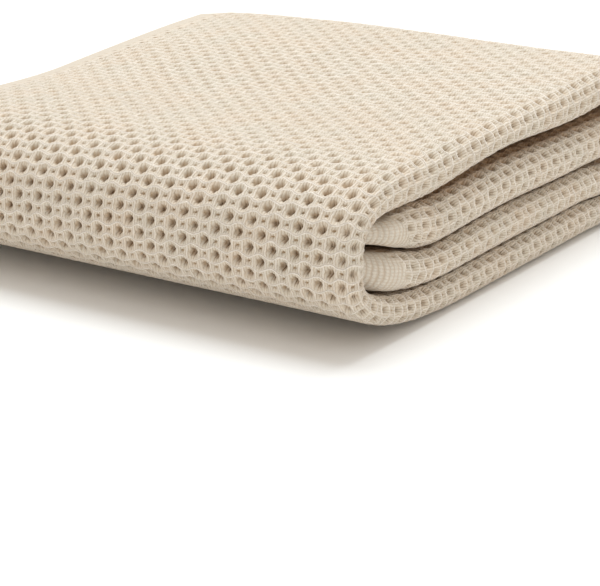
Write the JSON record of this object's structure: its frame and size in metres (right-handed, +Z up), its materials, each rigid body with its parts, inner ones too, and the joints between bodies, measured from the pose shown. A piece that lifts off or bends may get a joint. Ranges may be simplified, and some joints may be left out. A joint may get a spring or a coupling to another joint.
{
  "type": "folded dish towel",
  "caption": "Honeycomb-weave cotton dish towel, folded lengthwise, both ends turned to the middle, then folded in half, lying flat.",
  "frame": {"origin": "centre of the folded towel's box, on the surface it lies on", "axes": "+Z up; +Y from the outer fold in front to the two back folds; +X towards the lengthwise round fold, away from the selvedges"},
  "size_m": [0.1686, 0.1734, 0.0497],
  "materials": {
    "honeycomb_cotton": "matt honeycomb weave of unbleached cotton yarn"
  },
  "bodies": {
    "root": {"towel": "honeycomb_cotton"}
  },
  "joints": []
}
